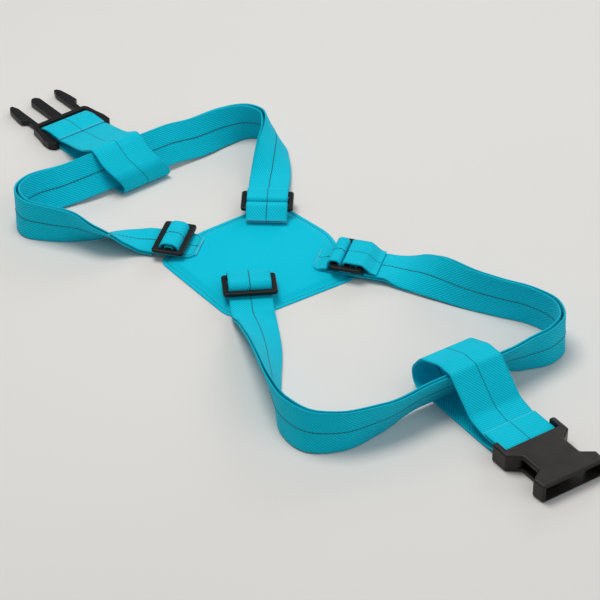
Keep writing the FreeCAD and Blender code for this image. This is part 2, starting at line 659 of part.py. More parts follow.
def make_socket():
    body = doc.addObject("PartDesign::Body", "socket")
    wall = size("socket_wall")
    side = BELT / 2 + 0.8 + size("rail")
    front = term("socket_front")
    rear = term("socket_rear", -1.0)
    outline = sketch_in(body, "socket_outline", "XY", mirrored([
        (front, -side + 1.0), (term("socket_front", 1.0, -12.0), -side),
        (term("socket_front", 1.0, -19.0), -20.0), (19.0, -20.0), (11.0, -side), (rear, -side),
    ]))
    pad_or_pocket(body, "Pad", "socket_block", outline, term("socket_thickness"))
    round_upright(body, "socket_corners", 2.5, is_upright)
    half = size("socket_thickness") / 2
    round_upright(body, "socket_rim", 2.0, lambda e: abs(abs(e.CenterOfMass.z) - half) < 0.01
                  and abs(e.CenterOfMass.x - size("socket_front")) > 0.1)
    slot = sketch_in(body, "socket_slot", "XY", mirrored([
        (5.6, term("belt_width", -0.5, -0.8)),
        (term("socket_rear", -1.0, -1.0), term("belt_width", -0.5, -0.8)),
    ]))
    pad_or_pocket(body, "Pocket", "socket_slot_cut", slot, term("socket_thickness", 2.0))
    hollow = sketch_in(body, "socket_hollow", "XY", mirrored([
        (term("socket_front", 1.0, 1.0), -side + wall + 1.0),
        (term("socket_front", 1.0, -12.5), -side + wall),
        (term("socket_front", 1.0, -19.5), -20.0 + wall), (12.0, -20.0 + wall),
    ]))
    tall = (size("socket_thickness") - 2 * wall, "Sizes.socket_thickness - 2 * Sizes.socket_wall")
    pad_or_pocket(body, "Pocket", "socket_hollow_cut", hollow, tall)
    window = sketch_in(body, "socket_window", "XZ", [
        (17.0, -4.2), (term("socket_front", 1.0, -15.0), -4.2),
        (term("socket_front", 1.0, -15.0), 4.2), (17.0, 4.2)])
    pad_or_pocket(body, "Pocket", "socket_window_cut", window, term("belt_width", 2.0))
    bar = sketch_in(body, "socket_bar_outline", "XZ", circle=term("socket_web_bar", 0.5))
    pad_or_pocket(body, "Pad", "socket_bar", bar, term("belt_width", 1.0, 3.0))
    body.Placement = buckle_place("right", "right_reach", "socket_thickness")
    keep(body, "buckle_socket")


# Build and check ---------------------------------------------------------------------------------
make_pad()
for ring_name in RINGS:
    for ply_name in ("inner", "outer"):
        make_ply(ring_name, ply_name)
make_slides()
make_belt_loops()
make_plug()
make_arm("buckle_plug_left_arm", 1)
make_arm("buckle_plug_right_arm", -1)
make_socket()
doc.recompute()

os.makedirs("parts", exist_ok=True)
for item in doc.Objects:
    if "Invalid" in item.State or "Error" in item.State:
        raise RuntimeError("%s did not build: %s" % (item.Name, item.State))
for item in parts:
    shape = item.Shape
    if shape.isNull() or not shape.isValid() or shape.Volume <= 0:
        raise RuntimeError("%s has no valid shape" % item.Label)
    shape.exportStep("parts/%s.step" % item.Label)
    print("%-28s %2d solid  %9.1f mm3" % (item.Label, len(shape.Solids), shape.Volume))
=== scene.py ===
import json
import math

import bmesh
import bpy
import numpy as np
from bpy.props import FloatProperty, FloatVectorProperty, PointerProperty
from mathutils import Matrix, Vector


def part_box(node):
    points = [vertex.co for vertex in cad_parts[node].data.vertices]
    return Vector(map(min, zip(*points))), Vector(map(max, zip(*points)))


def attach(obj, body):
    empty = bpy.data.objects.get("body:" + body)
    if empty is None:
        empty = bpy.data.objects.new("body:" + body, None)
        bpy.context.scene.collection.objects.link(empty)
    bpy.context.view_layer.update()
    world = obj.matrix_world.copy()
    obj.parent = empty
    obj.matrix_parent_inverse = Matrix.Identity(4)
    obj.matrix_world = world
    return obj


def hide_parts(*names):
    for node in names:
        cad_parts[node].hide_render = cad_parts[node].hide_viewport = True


bl_info = {
    "name": "Padded harness belt",
    "version": (1, 0, 0),
    "blender": (4, 5, 0),
    "location": "3D View > Sidebar > Harness belt",
    "description": "Webbing, pad, stitching and buckles of a padded harness belt",
    "category": "Add Mesh",
}

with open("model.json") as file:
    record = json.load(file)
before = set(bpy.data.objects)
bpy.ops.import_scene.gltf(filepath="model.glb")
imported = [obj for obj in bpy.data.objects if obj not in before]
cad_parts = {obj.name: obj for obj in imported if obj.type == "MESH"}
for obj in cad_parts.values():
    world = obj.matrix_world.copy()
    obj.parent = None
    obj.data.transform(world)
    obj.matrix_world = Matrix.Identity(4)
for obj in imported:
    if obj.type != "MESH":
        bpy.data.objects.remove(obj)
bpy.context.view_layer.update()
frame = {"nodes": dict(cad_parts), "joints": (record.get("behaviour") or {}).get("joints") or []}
MM = 0.001
UP = np.array([0.0, 0.0, 1.0])

# Sizes of the webbing and the pad, in millimetres, as the frame was designed.
STRAP_WIDTH = 36.0
STRAP_THICKNESS = 1.8
PLY_GAP = 0.5
STACK = 2 * STRAP_THICKNESS + PLY_GAP
BELT_WIDTH = 50.0
BELT_THICKNESS = 2.0
CLEARANCE = 0.3
FLOOR = 0.1
COVER = 0.8
PAD_TOP = 4.0
HEM = 6.0
SLIDE_LENGTH = 28.0
SLIDE_THICKNESS = 3.4
SLIDE_BAR = 4.4
MIDDLE_BAR = 4.0
PLUG_WEB_BAR = 3.0
SOCKET_WEB_BAR = 5.0
LEFT_REACH = 107.0    # from under the ring to the web bar, along the left belt loop
RIGHT_REACH = 79.0

# What only the drawn pieces have, in millimetres but for the sway.
SHAVE = 0.12          # webbing is drawn this much thinner and narrower than its CAD solid
SWAY = 2.0            # degrees by which a ring's lean wanders where the strap is free
STAND_OFF = 1.5       # most that the outer ply stands off where the strap is free
STITCH_PITCH = 3.4
STITCH_RADIUS = 0.27
TAB_PITCH = 2.6
TACK_PITCH = 2.4
HEM_PITCH = 3.0
TAB_INSET = 2.8       # stitches of a tab, inside its edges
TAB_BACK = 20.0       # how far back from the tab's end its stitches start
TACK_INSET = 1.6      # stitches across a belt loop, from its cut end
HEM_INSET = 3.6       # stitches of the pad, inside its outline


def joint(name):
    return next(j for j in frame["joints"] if j["name"] == name)


def centre_of(node):
    low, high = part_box(node)
    return np.array((low + high) / 2) / MM


# Small vector and curve tools ---------------------------------------------------------------------
def unit(v):
    return v / np.linalg.norm(v, axis=-1, keepdims=True)


def direction(degrees):
    angle = np.radians(degrees)
    return np.stack([np.cos(angle), np.sin(angle), np.zeros_like(angle)], axis=-1)


def arc_length(points):
    steps = np.linalg.norm(np.diff(points, axis=0), axis=1)
    return np.concatenate([[0.0], np.cumsum(steps)])


def along(points, distances):
    """Points at the given distances along a polyline, joined by straight lines."""
    lengths = arc_length(points)
    return np.stack([np.interp(distances, lengths, points[:, k])
                     for k in range(points.shape[1])], axis=1)


def rounded_path(corners, radii, step=0.35):
    """Samples of a path of straight runs whose inner corners are arcs of the given radii.

    An arc of radius r that turns through angle a starts r * tan(a / 2) before its corner.
    """
    corners = np.asarray(corners, float)
    pieces = [corners[:1]]
    for before, corner, after, radius in zip(corners, corners[1:], corners[2:], radii):
        back, ahead = unit(before - corner), unit(after - corner)
        turn = math.pi - math.acos(float(np.clip(back @ ahead, -1, 1)))
        first = corner + back * radius * math.tan(turn / 2)
        centre = corner + unit(back + ahead) * radius / math.cos(turn / 2)
        spoke = first - centre
        side = np.sign(back[0] * ahead[1] - back[1] * ahead[0])
        angle = np.linspace(0, turn, max(3, int(turn * radius / step) + 2)) * side * -1
        turned = np.stack([spoke[0] * np.cos(angle) - spoke[1] * np.sin(angle),
                           spoke[0] * np.sin(angle) + spoke[1] * np.cos(angle)], axis=1)
        pieces.append(centre + turned)
    pieces.append(corners[-1:])
    return np.concatenate(pieces)


# Mesh tools ---------------------------------------------------------------------------------------
def add_object(name, mesh, material):
    piece = bpy.data.objects.new(name, mesh)
    bpy.context.scene.collection.objects.link(piece)
    mesh.materials.append(material)
    mesh.polygons.foreach_set("use_smooth", np.full(len(mesh.polygons), True))
    return piece


def mesh_from(name, points, faces, material, uv=None):
    """A mesh piece from points in millimetres, faces as arrays of corner numbers, and a UV map."""
    mesh = bpy.data.meshes.new(name)
    mesh.from_pydata((np.asarray(points) * MM).tolist(), [], [f.tolist() for f in faces])
    if uv is not None:
        layer = mesh.uv_layers.new(name="UVMap")
        corner = np.zeros(len(mesh.loops), np.int32)
        mesh.loops.foreach_get("vertex_index", corner)
        layer.data.foreach_set("uv", (uv[corner] * MM).astype(np.float32).ravel())
    mesh.validate()
    mesh.update()
    return add_object(name, mesh, material)


def tube_faces(rows, columns):
    """Quads of a grid of rows whose columns close round, and one face over each end."""
    r, c = np.meshgrid(np.arange(rows - 1), np.arange(columns), indexing="ij")
    right = (c + 1) % columns
    quads = np.stack([r * columns + c, r * columns + right, (r + 1) * columns + right,
                      (r + 1) * columns + c], axis=-1).reshape(-1, 4)
    first = np.arange(columns)[::-1]
    last = (rows - 1) * columns + np.arange(columns)
    return list(quads) + [first, last]


def webbing_section(width, thickness, flats=30, turns=7):
    """Closed outline of webbing seen end on: two flats joined by half circles.

    Gives each point's place across the width and through the thickness.
    """
    radius = thickness / 2
    y = np.linspace(-width / 2 + radius, width / 2 - radius, flats)
    angle = np.linspace(-90, 90, turns + 2)[1:-1]
    edge_y = width / 2 - radius + radius * np.cos(np.radians(angle))
    edge_z = radius * np.sin(np.radians(angle))
    across = np.concatenate([y, edge_y, y[::-1], -edge_y])
    through = np.concatenate([np.full(flats, -radius), edge_z, np.full(flats, radius),
                              -edge_z])
    return across, through


def end_inset(s, length, ends):
    """How far the selvedges come in near a cut end: a chamfer's straight line or a round corner.

    A round corner of radius r leaves r minus the root of r squared minus (r - s) squared.
    """
    inset = np.zeros_like(s)
    for away, (shape, size) in zip((s, length - s), ends):
        if shape == "chamfer":
            inset += np.clip(size - away, 0, None)
        elif shape == "round":
            near = np.clip(size - away, 0, size)
            inset += size - np.sqrt(np.clip(size**2 - near**2, 0, None))
    return inset


SQUARE = ("square", 0.0)


def webbing(name, centre, across, normal, width, thickness, material, ends=(SQUARE, SQUARE),
            thin=(0.0, 0.0), hand=1):
    """Webbing carried along a line: its section is set out in each sample's across and normal.

    The selvedges are a little thicker than the face, as a woven edge is, and the seam down the
    middle pulls both faces in at each stitch.  An end marked thin runs out to a feather edge
    over that length.  The point attribute "cut" is 1 at the ends and fades within a millimetre.
    Hand -1 turns the twill's slant the other way.
    """
    width, thickness = width - SHAVE, thickness - SHAVE
    v, w = webbing_section(width, thickness)
    s = arc_length(centre)
    middle = np.exp(-(v / 0.6) ** 2)
    stitch = 0.7 + 0.3 * np.cos(2 * np.pi * s / STITCH_PITCH)
    edge = np.exp(-((np.abs(v) - width / 2 + 1.9) / 0.5) ** 2)
    sink = 0.22 * middle[None, :] * stitch[:, None] + 0.08 * edge[None, :]
    through = w[None, :] - np.sign(w)[None, :] * sink * (np.abs(w) > 0.4 * thickness)
    full = np.ones_like(s)
    shift = np.zeros_like(s)
    for away, reach in zip((s, s[-1] - s), thin):
        if reach:
            full *= 0.25 + 0.75 * smoothstep(away, 0.0, reach)
            shift -= (1 - smoothstep(away, 0.0, reach)) * 0.375 * thickness
    across_place = v[None, :] * (1 - 2 * end_inset(s, s[-1], ends) / width)[:, None]
    place = through * full[:, None] + shift[:, None]
    grid = (centre[:, None, :] + across[:, None, :] * across_place[:, :, None]
            + normal[:, None, :] * place[:, :, None])
    uv = np.stack([np.broadcast_to(s[:, None], place.shape), across_place * hand], axis=-1)
    piece = mesh_from(name, grid.reshape(-1, 3), tube_faces(len(s), len(v)), material,
                      uv.reshape(-1, 2))
    fade = [np.exp(-away / 0.5) * (reach == 0) for away, reach in zip((s, s[-1] - s), thin)]
    cut = np.repeat(np.clip(sum(fade), 0, 1), len(v))
    layer = piece.data.attributes.new("cut", "FLOAT", "POINT")
    layer.data.foreach_set("value", cut.astype(np.float32))
    return piece


def smoothstep(x, low, high):
    t = np.clip((x - low) / (high - low), 0, 1)
    return t * t * (3 - 2 * t)


def stitches(name, points, across, normal, material, pitch=STITCH_PITCH):
    """A row of thread stitches: each is a thin lens that dives into the cloth at both ends.

    Its centre rises by the radius times 1 - t squared, and it tapers as the square root of that,
    where t runs from -1 to 1 along the stitch.
    """
    lengths = arc_length(points)
    count = max(1, int((lengths[-1] - pitch) / pitch))
    start = (lengths[-1] - count * pitch) / 2
    t = np.linspace(-1, 1, 7)
    where = start + (np.arange(count)[:, None] + 0.5 + 0.41 * t[None, :]) * pitch
    flat = where.ravel()
    base = along(points, flat).reshape(count, len(t), 3)
    side = unit(along_field(lengths, across, flat)).reshape(base.shape)
    up = unit(along_field(lengths, normal, flat)).reshape(base.shape)
    angle = np.linspace(0, 2 * np.pi, 6, endpoint=False)
    thick = STITCH_RADIUS * np.sqrt(np.clip(1 - (0.97 * t) ** 2, 0, 1))
    lift = 0.9 * STITCH_RADIUS * (1 - t ** 2) - 0.35 * STITCH_RADIUS
    ring = (base[:, :, None, :] + up[:, :, None, :] * lift[None, :, None, None]
            + side[:, :, None, :] * (thick[:, None] * np.cos(angle))[None, :, :, None]
            + up[:, :, None, :] * (thick[:, None] * np.sin(angle))[None, :, :, None])
    one = tube_faces(len(t), len(angle))
    quads = np.array(one[:-2])
    caps = np.array([one[-2], one[-1]])
    shift = (np.arange(count) * len(t) * len(angle))[:, None, None]
    faces = list((quads[None] + shift).reshape(-1, 4)) + list((caps[None] + shift).reshape(-1, 6))
    return mesh_from(name, ring.reshape(-1, 3), faces, material)


def along_field(lengths, field, distances):
    return np.stack([np.interp(distances, lengths, field[:, k]) for k in range(3)], axis=1)


# Rings --------------------------------------------------------------------------------------------
# A station is (x, y, lean) on the line midway between a ring's two plies.  Lean 0 lies flat with
# the inner face up, 90 stands on edge and 180 lies flat with the outer face up.
SLIDES = {
    "left": dict(flat=20.0, under=STRAP_THICKNESS),
    "back": dict(flat=32.0, under=STACK),
    "front": dict(flat=30.0, under=STACK),
    "right": dict(flat=32.0, under=STACK),
}
BODY = {name: name + "_adjuster" for name in SLIDES}
LOOP_RUN = BELT_WIDTH / 2 + 13.0
LOOP_LIFT = BELT_THICKNESS + 0.8
RINGS = {
    "left": dict(
        first="left", last="back", side=1, middle=(-112.5, 137.5), heading=37.0, lean=54.0,
        lean_last=180.0, starts={"inner": (-23.0, -22.0), "outer": (15.0, 15.0)},
        before=[(-103, 30.5, 6), (-117, 29, 19), (-135, 27, 46), (-154, 31, 74), (-180, 37, 92),
                (-200, 46, 96), (-206, 62, 90), (-196, 80, 72), (-174, 95, 58)],
        after=[(-55, 178, 60), (-32, 193, 76), (-10, 201, 92), (6, 194, 106), (12, 178, 120),
               (12, 158, 138), (11, 136, 160)]),
    "right": dict(
        first="front", last="right", side=-1, middle=(166.0, -180.5), heading=34.0, lean=64.0,
        lean_last=0.0, starts={"inner": (-7.5, 15.0), "outer": (-7.5, -30.0)},
        before=[(1, -92, 16), (7, -126, 36), (11, -162, 57), (16, -197, 76), (25, -226, 93),
                (43, -244, 100), (68, -245, 90), (100, -229, 74)],
        after=[(216, -148, 78), (235, -137, 88), (246, -120, 91), (243, -101, 90),
               (226, -84, 88), (198, -71, 83), (174, -59, 77), (152, -43, 60), (132, -26, 30)]),
}


def slide_heading(name):
    axis = joint(name + "_adjuster_slide")["axis"]
    return math.degrees(math.atan2(axis[1], axis[0]))


def resting_height(lean):
    """Height of the ring's line when its lower edge rests on the table."""
    angle = np.radians(lean)
    return (FLOOR + STRAP_WIDTH / 2 * np.abs(np.sin(angle))
            + STACK / 2 * np.abs(np.cos(angle)))


def station(point, heading, distance, lean, height):
    spot = np.asarray(point)[:2] + direction(heading)[:2] * distance
    return dict(at=(spot[0], spot[1], lean, height - resting_height(lean)), heading=heading)


def smooth_run(start, stops, end):
    """Cubic pieces through the stations, with slopes weighted by the spans beside each one.

    Gives rows of x, y, lean, lift and freedom.  Lift is the height above resting.  Freedom is 0
    at both ends of the run and 1 over its middle half.
    """
    knots = np.array([start["at"]] + [(*stop, 0.0) for stop in stops] + [end["at"]], float)
    spans = np.linalg.norm(np.diff(knots[:, :2], axis=0), axis=1)
    rates = np.diff(knots, axis=0) / spans[:, None]
    low, high = spans[:-1, None], spans[1:, None]
    inner = (rates[:-1] * high + rates[1:] * low) / (low + high)
    inner[:, 3] = 0.0
    ends = [np.append(direction(e["heading"])[:2], [0.0, 0.0])[None] for e in (start, end)]
    slopes = np.concatenate([ends[0], inner, ends[1]])
    rows = []
    for i, span in enumerate(spans):
        t = np.linspace(0, 1, max(6, int(span / 1.3)))[:, None]
        rows.append((2 * t**3 - 3 * t**2 + 1) * knots[i]
                    + (t**3 - 2 * t**2 + t) * span * slopes[i]
                    + (3 * t**2 - 2 * t**3) * knots[i + 1]
                    + (t**3 - t**2) * span * slopes[i + 1])
        if i:
            rows[-1] = rows[-1][1:]
    rows = np.concatenate(rows)
    share = arc_length(rows[:, :2])
    share /= share[-1]
    free = smoothstep(share, 0.0, 0.25) * (1 - smoothstep(share, 0.75, 1.0))
    return np.column_stack([rows, free])


def straight_run(start, end, step=1.5):
    a, b = np.array(start["at"], float), np.array(end["at"], float)
    count = max(3, int(np.linalg.norm((b - a)[:2]) / step))
    rows = a + (b - a) * np.linspace(0, 1, count)[:, None]
    return np.column_stack([rows, np.zeros(count)])


def ring_line(name, ply):
    """Rows of x, y, lean, lift and freedom along one ply, from the first slide to the last."""
    ring = RINGS[name]
    first, last = SLIDES[ring["first"]], SLIDES[ring["last"]]
    begin, finish = ring["starts"][ply]
    heights = [PAD_TOP - PLY_GAP / 2 if s["under"] < STACK else PAD_TOP + STACK / 2
               for s in (first, last)]
    a, b = centre_of(ring["first"] + "_slide"), centre_of(ring["last"] + "_slide")
    out, home = slide_heading(ring["first"]), slide_heading(ring["last"]) - 180.0
    over = resting_height(ring["lean"]) + LOOP_LIFT
    start = station(a, out, begin, 0.0, heights[0])
    rise = station(a, out, first["flat"], 0.0, heights[0])
    loop_in = station(ring["middle"], ring["heading"], -LOOP_RUN, ring["lean"], over)
    loop_out = station(ring["middle"], ring["heading"], LOOP_RUN, ring["lean"], over)
    settle = station(b, home, -last["flat"], ring["lean_last"], heights[1])
    end = station(b, home, -finish, ring["lean_last"], heights[1])
    return np.concatenate([straight_run(start, rise)[:-1],
                           smooth_run(rise, ring["before"], loop_in),
                           straight_run(loop_in, loop_out)[1:-1],
                           smooth_run(loop_out, ring["after"], settle),
                           straight_run(settle, end)[1:]])


def ring_ply(name, ply):
    """Centre line, across and normal of one ply.

    Across is the outward horizontal turned up by the lean, and the ply lies half the gap and
    half its own thickness to its side of the ring's line.  Where the strap is free its lean
    wanders and the outer ply stands off.  A ply that would dip below the table is lifted.
    """
    ring = RINGS[name]
    rows = ring_line(name, ply)
    x, y, free = rows[:, 0], rows[:, 1], rows[:, 4]
    tangent = unit(np.gradient(rows[:, :2], axis=0))
    outward = np.stack([-tangent[:, 1], tangent[:, 0], np.zeros(len(rows))], axis=1)
    outward *= ring["side"]
    leaning = rows[:, 2] + SWAY * free * np.sin(x / 19 + y / 27)
    lean = np.radians(leaning)[:, None]
    across = outward * np.cos(lean) + UP * np.sin(lean)
    normal = UP * np.cos(lean) - outward * np.sin(lean)
    line = np.column_stack([x, y, resting_height(leaning) + rows[:, 3]])
    side = 1 if ply == "inner" else -1
    stand_off = free * (STAND_OFF / 2) * (1 + np.sin(x / 23 - y / 37)) * (ply == "outer")
    offset = side * ((PLY_GAP + STRAP_THICKNESS) / 2 + stand_off)
    centre = line + normal * offset[:, None]
    drop = (np.abs(across[:, 2]) * STRAP_WIDTH + np.abs(normal[:, 2]) * STRAP_THICKNESS) / 2
    centre[:, 2] += np.maximum(0, FLOOR - (centre[:, 2] - drop))
    return centre, across, normal


# Materials ----------------------------------------------------------------------------------------
class Nodes:
    """Short calls for a material's node tree."""

    def __init__(self, name):
        self.material = bpy.data.materials.new(name)
        self.material.use_nodes = True
        self.tree = self.material.node_tree
        self.shader = self.tree.nodes["Principled BSDF"]

    def add(self, kind, **settings):
        node = self.tree.nodes.new("ShaderNode" + kind)
        inputs = settings.pop("inputs", {})
        for key, value in settings.items():
            setattr(node, key, value)
        for key, value in inputs.items():
            self.put(node.inputs[key], value)
        return node

    def put(self, socket, value):
        if isinstance(value, bpy.types.NodeSocket):
            self.tree.links.new(value, socket)
        else:
            socket.default_value = value

    def math(self, operation, a, b=0.0):
        return self.add("Math", operation=operation, inputs={0: a, 1: b}).outputs[0]

    def mix(self, factor, a, b):
        node = self.add("Mix", data_type="RGBA", inputs={0: factor, 6: a, 7: b})
        return node.outputs[2]

    def noise(self, vector, scale, detail):
        node = self.add("TexNoise", inputs={"Vector": vector, "Scale": scale, "Detail": detail})
        return node.outputs["Fac"]

    def ramp(self, value, low, high):
        """0 below low, 1 above high and a straight rise between them."""
        node = self.add("MapRange", inputs={0: value, 1: low, 2: high, 3: 0.0, 4: 1.0})
        node.clamp = True
        return node.outputs[0]

    def bump(self, height, strength, distance):
        node = self.add("Bump", inputs={"Strength": strength, "Distance": distance,
                                        "Height": height})
        self.tree.links.new(node.outputs[0], self.shader.inputs["Normal"])


def shaded(color, factor):
    return (*[c * factor for c in color[:3]], 1.0)


def webbing_material(look, width, name):
    """Woven webbing: slanting twill ribs, ribbed selvedges and a dark seam down the middle.

    Rows of yarn cross the ribs at a third of their pitch.  Cut ends are painted paler, as a painted
    highlight on the cut edge.
    """
    n = Nodes(name)
    uv = n.add("UVMap", uv_map="UVMap").outputs[0]
    split = n.add("SeparateXYZ", inputs={0: uv})
    u = n.math("MULTIPLY", split.outputs[0], 1 / MM)
    v = n.math("MULTIPLY", split.outputs[1], 1 / MM)
    place = n.add("TexCoord").outputs["Object"]
    far = n.math("ABSOLUTE", v)
    pitch = look.twill_pitch / MM
    waver = n.math("MULTIPLY", n.math("SUBTRACT", n.noise(place, 120.0, 2.0), 0.5), 0.9)
    slant = n.math("ADD", n.math("MULTIPLY", u, 0.62), n.math("MULTIPLY", v, 0.785))
    slant = n.math("ADD", slant, waver)
    twill = n.math("SINE", n.math("MULTIPLY", slant, 2 * math.pi / pitch))
    cross = n.math("SUBTRACT", n.math("MULTIPLY", u, 0.785), n.math("MULTIPLY", v, 0.62))
    pick = n.math("SINE", n.math("MULTIPLY", cross, 6 * math.pi / pitch))
    weave = n.math("ADD", n.math("MULTIPLY", twill, 0.75), n.math("MULTIPLY", pick, 0.25))
    rib = n.math("SINE", n.math("MULTIPLY", far, 2 * math.pi / 0.9))
    selvedge = n.ramp(far, width / 2 - 2.2, width / 2 - 1.7)
    woven = n.add("Mix", data_type="FLOAT", inputs={0: selvedge, 2: weave, 3: rib}).outputs[0]
    fibre = n.noise(place, 2400.0, 2.0)
    patch = n.noise(place, 34.0, 4.0)
    base = n.mix(n.ramp(woven, -0.95, 0.35), shaded(look.webbing_color, 0.66),
                 shaded(look.webbing_color, 1.08))
    base = n.mix(n.math("MULTIPLY", n.ramp(patch, 0.35, 0.75), 0.4), base,
                 shaded(look.webbing_color, 0.82))
    base = n.mix(n.math("MULTIPLY", n.ramp(fibre, 0.55, 0.8), 0.22), base,
                 shaded(look.webbing_color, 1.5))
    wander = n.math("MULTIPLY", n.math("SUBTRACT", n.noise(place, 150.0, 2.0), 0.5), 0.4)
    middle = n.math("ABSOLUTE", n.math("ADD", v, wander))
    line = n.math("SUBTRACT", 1.0, n.ramp(middle, 0.2, 0.7))
    base = n.mix(n.math("MULTIPLY", line, 0.6), base, shaded(look.thread_color, 1.3))
    # Painted highlight: the cut ends, found by the cut attribute and broken up by fibre noise, are
    # painted paler in the tack colour.
    cut = n.add("Attribute", attribute_name="cut").outputs["Fac"]
    cut_highlight_mask = n.math("ADD", cut, n.math("MULTIPLY", n.math("SUBTRACT", fibre, 0.5), 0.7))
    edge = n.ramp(cut_highlight_mask, 0.3, 0.75)
    base = n.mix(n.math("MULTIPLY", edge, 0.5), base, shaded(look.tack_and_cut_highlight_color, 1.0))
    n.put(n.shader.inputs["Base Color"], base)
    n.put(n.shader.inputs["Roughness"],
          n.math("ADD", 0.6, n.math("MULTIPLY", patch, 0.22)))
    n.put(n.shader.inputs["Sheen Weight"], 0.04)
    n.put(n.shader.inputs["Sheen Roughness"], 0.4)
    n.put(n.shader.inputs["Specular IOR Level"], 0.1)
    height = n.math("ADD", woven, n.math("MULTIPLY", fibre, 0.5))
    height = n.math("SUBTRACT", height, n.math("MULTIPLY", line, 1.6))
    n.bump(height, 0.6, 0.00025)
    return n.material


def cloth_material(look):
    """The pad's cover: a fine plain weave with a soft nap and faint handling marks."""
    n = Nodes("pad_cloth")
    place = n.add("TexCoord").outputs["Object"]
    split = n.add("SeparateXYZ", inputs={0: place})
    per = 2 * math.pi / 0.00062
    warp = n.math("SINE", n.math("MULTIPLY", split.outputs[0], per))
    weft = n.math("SINE", n.math("MULTIPLY", split.outputs[1], per))
    weave = n.math("MULTIPLY", warp, weft)
    patch = n.noise(place, 16.0, 5.0)
    fleck = n.noise(place, 1900.0, 2.0)
    base = n.mix(n.ramp(weave, -0.8, 0.8), shaded(look.pad_color, 0.86),
                 shaded(look.pad_color, 1.06))
    base = n.mix(n.math("MULTIPLY", n.ramp(patch, 0.4, 0.7), 0.3), base,
                 shaded(look.pad_color, 0.9))
    base = n.mix(n.math("MULTIPLY", n.ramp(fleck, 0.6, 0.8), 0.18), base,
                 shaded(look.pad_color, 1.35))
    n.put(n.shader.inputs["Base Color"], base)
    n.put(n.shader.inputs["Roughness"], n.math("ADD", 0.66, n.math("MULTIPLY", patch, 0.2)))
    n.put(n.shader.inputs["Sheen Weight"], 0.03)
    n.put(n.shader.inputs["Sheen Roughness"], 0.45)
    n.put(n.shader.inputs["Specular IOR Level"], 0.08)
    n.bump(n.math("ADD", weave, n.math("MULTIPLY", fleck, 0.6)), 0.35, 0.00012)
    return n.material


def plastic_material(look, color, name):
    """Moulded plastic: a fine eroded grain, dust in patches and a painted highlight that makes the
    sharp edges paler.
    """
    n = Nodes(name)
    place = n.add("TexCoord").outputs["Object"]
    grain = n.noise(place, 1500.0, 4.0)
    patch = n.noise(place, 70.0, 4.0)
    streak = n.add("Mapping", inputs={0: place, "Scale": (90.0, 900.0, 300.0)}).outputs[0]
    scuff = n.noise(streak, 1.0, 2.0)
    base = n.mix(n.ramp(patch, 0.35, 0.7), shaded(color, 0.8), shaded(color, 1.25))
    base = n.mix(n.math("MULTIPLY", n.ramp(scuff, 0.66, 0.76), 0.22), base,
                 shaded(color, 2.6))
    # Painted highlight: the sharp outer edges, found by pointiness, are painted paler.
    edge_highlight_mask = n.add("NewGeometry").outputs["Pointiness"]
    base = n.mix(n.math("MULTIPLY", n.ramp(edge_highlight_mask, 0.53, 0.6), 0.3), base,
                 shaded(color, 2.4))
    n.put(n.shader.inputs["Base Color"], base)
    rough = n.math("ADD", 0.3, n.math("MULTIPLY", patch, 0.16))
    n.put(n.shader.inputs["Roughness"],
          n.math("ADD", rough, n.math("MULTIPLY", n.ramp(scuff, 0.6, 0.8), 0.15)))
    n.put(n.shader.inputs["Specular IOR Level"], 0.27)
    n.bump(n.math("ADD", grain, n.math("MULTIPLY", scuff, 0.4)), 0.22, 0.00008)
    return n.material


def thread_material(look, color, name):
    """Sewing thread: two-ply twist shown as slanting light and dark."""
    n = Nodes(name)
    place = n.add("TexCoord").outputs["Object"]
    twist = n.add("TexWave", wave_type="BANDS", bands_direction="DIAGONAL",
                  inputs={"Vector": place, "Scale": 700.0, "Distortion": 1.5}).outputs["Fac"]
    n.put(n.shader.inputs["Base Color"], n.mix(twist, shaded(color, 0.7), shaded(color, 1.4)))
    n.put(n.shader.inputs["Roughness"], 0.6)
    n.put(n.shader.inputs["Sheen Weight"], 0.2)
    n.bump(twist, 0.3, 0.00006)
    return n.material


def table_material(look):
    n = Nodes("table")
    place = n.add("TexCoord").outputs["Object"]
    patch = n.noise(place, 3.0, 4.0)
    n.put(n.shader.inputs["Base Color"],
          n.mix(patch, shaded(look.floor_color, 0.97), shaded(look.floor_color, 1.02)))
    n.put(n.shader.inputs["Roughness"], 0.72)
    return n.material


class BeltLook(bpy.types.PropertyGroup):
    """Colours and fine sizes of the harness belt."""
    webbing_color: FloatVectorProperty(
        name="Webbing", description="Colour of the webbing", subtype="COLOR",
        default=(0.0, 0.6, 0.79), min=0.0, max=1.0)
    pad_color: FloatVectorProperty(
        name="Pad", description="Colour of the pad's cover", subtype="COLOR",
        default=(0.0, 0.58, 0.77), min=0.0, max=1.0)
    plastic_color: FloatVectorProperty(
        name="Plastic", description="Colour of the slides and the plug", subtype="COLOR",
        default=(0.0055, 0.0055, 0.006), min=0.0, max=1.0)
    socket_color: FloatVectorProperty(
        name="Socket", description="Colour of the buckle's socket", subtype="COLOR",
        default=(0.017, 0.014, 0.0125), min=0.0, max=1.0)
    thread_color: FloatVectorProperty(
        name="Thread", description="Colour of the stitching", subtype="COLOR",
        default=(0.008, 0.05, 0.065), min=0.0, max=1.0)
    # Real colour of the tack thread, and also the colour of the painted highlight on the webbing's
    # cut ends.
    tack_and_cut_highlight_color: FloatVectorProperty(
        name="Tack", description="Colour of the thread across the belts' sewn ends",
        subtype="COLOR", default=(0.22, 0.68, 0.76), min=0.0, max=1.0)
    floor_color: FloatVectorProperty(
        name="Table", description="Colour of the table", subtype="COLOR",
        default=(0.74, 0.725, 0.7), min=0.0, max=1.0)
    twill_pitch: FloatProperty(
        name="Twill pitch", description="Distance between the slanting ribs of the webbing",
        default=1.9 * MM, min=0.4 * MM, max=5 * MM, subtype="DISTANCE", unit="LENGTH")
    key_power: FloatProperty(
        name="Key light", description="Power of the main light", default=21.0, min=0.0)


